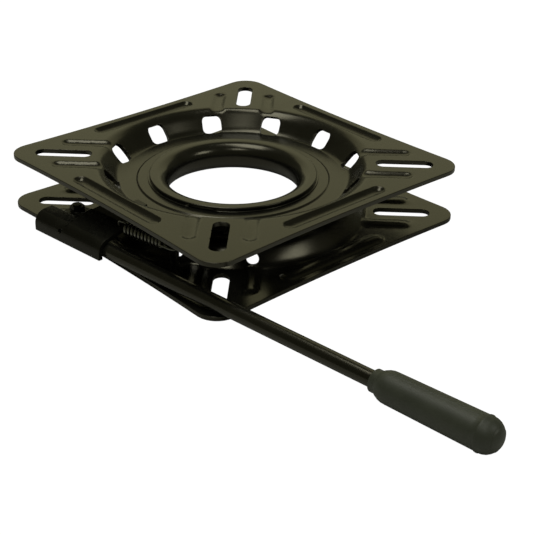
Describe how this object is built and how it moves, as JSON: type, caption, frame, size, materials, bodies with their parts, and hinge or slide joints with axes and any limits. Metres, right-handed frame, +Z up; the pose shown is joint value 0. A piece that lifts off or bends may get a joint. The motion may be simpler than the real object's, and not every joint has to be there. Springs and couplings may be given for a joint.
{
  "type": "swivel seat base",
  "caption": "Low locking swivel for a vehicle seat: square pressed plates turn on a ball bearing round an open centre sleeve, held by a sprung hand lever.",
  "frame": {"origin": "on the swivel axis at the underside of the lower plate", "axes": "+Z up, +X and +Y through the plates' corners and bolt slots, the lever's grip towards +X and -Y"},
  "size_m": [0.2479, 0.3442, 0.0328],
  "materials": {
    "black_paint": "gloss black",
    "grip_plastic": "matte",
    "spring_steel": "zinc plated",
    "ball_steel": "polished",
    "cage_steel": "oiled sheet"
  },
  "bodies": {
    "base": {"base_plate": "black_paint", "centre_sleeve": "black_paint", "upper_wear_ring": "black_paint", "lower_wear_ring": "black_paint", "pivot_stud": "black_paint", "pivot_spacer": "black_paint", "pivot_washer": "black_paint", "pivot_nut": "black_paint", "spring_post": "black_paint"},
    "seat": {"seat_plate": "black_paint"},
    "bearing": {"ball_cage": "cage_steel", "bearing_balls": "ball_steel"},
    "lever": {"lever_bracket": "black_paint", "lever_rod": "black_paint", "lever_grip": "grip_plastic", "return_spring": "spring_steel"}
  },
  "joints": [
    {"name": "swivel", "type": "hinge", "parent": "base", "child": "seat", "pos_m": [0, 0, 0.01588], "axis": [0, 0, 1], "continuous": true},
    {"name": "bearing_roll", "type": "hinge", "parent": "base", "child": "bearing", "pos_m": [0, 0, 0.01588], "axis": [0, 0, 1], "continuous": true},
    {"name": "lever_release", "type": "hinge", "parent": "base", "child": "lever", "pos_m": [-0.08269, -0.02436, 0.0053], "axis": [0, 0, 1], "range_deg": [-13, 0], "stiffness_Nm_per_rad": 3, "springref_deg": 11.46, "deforming": ["return_spring"]}
  ]
}
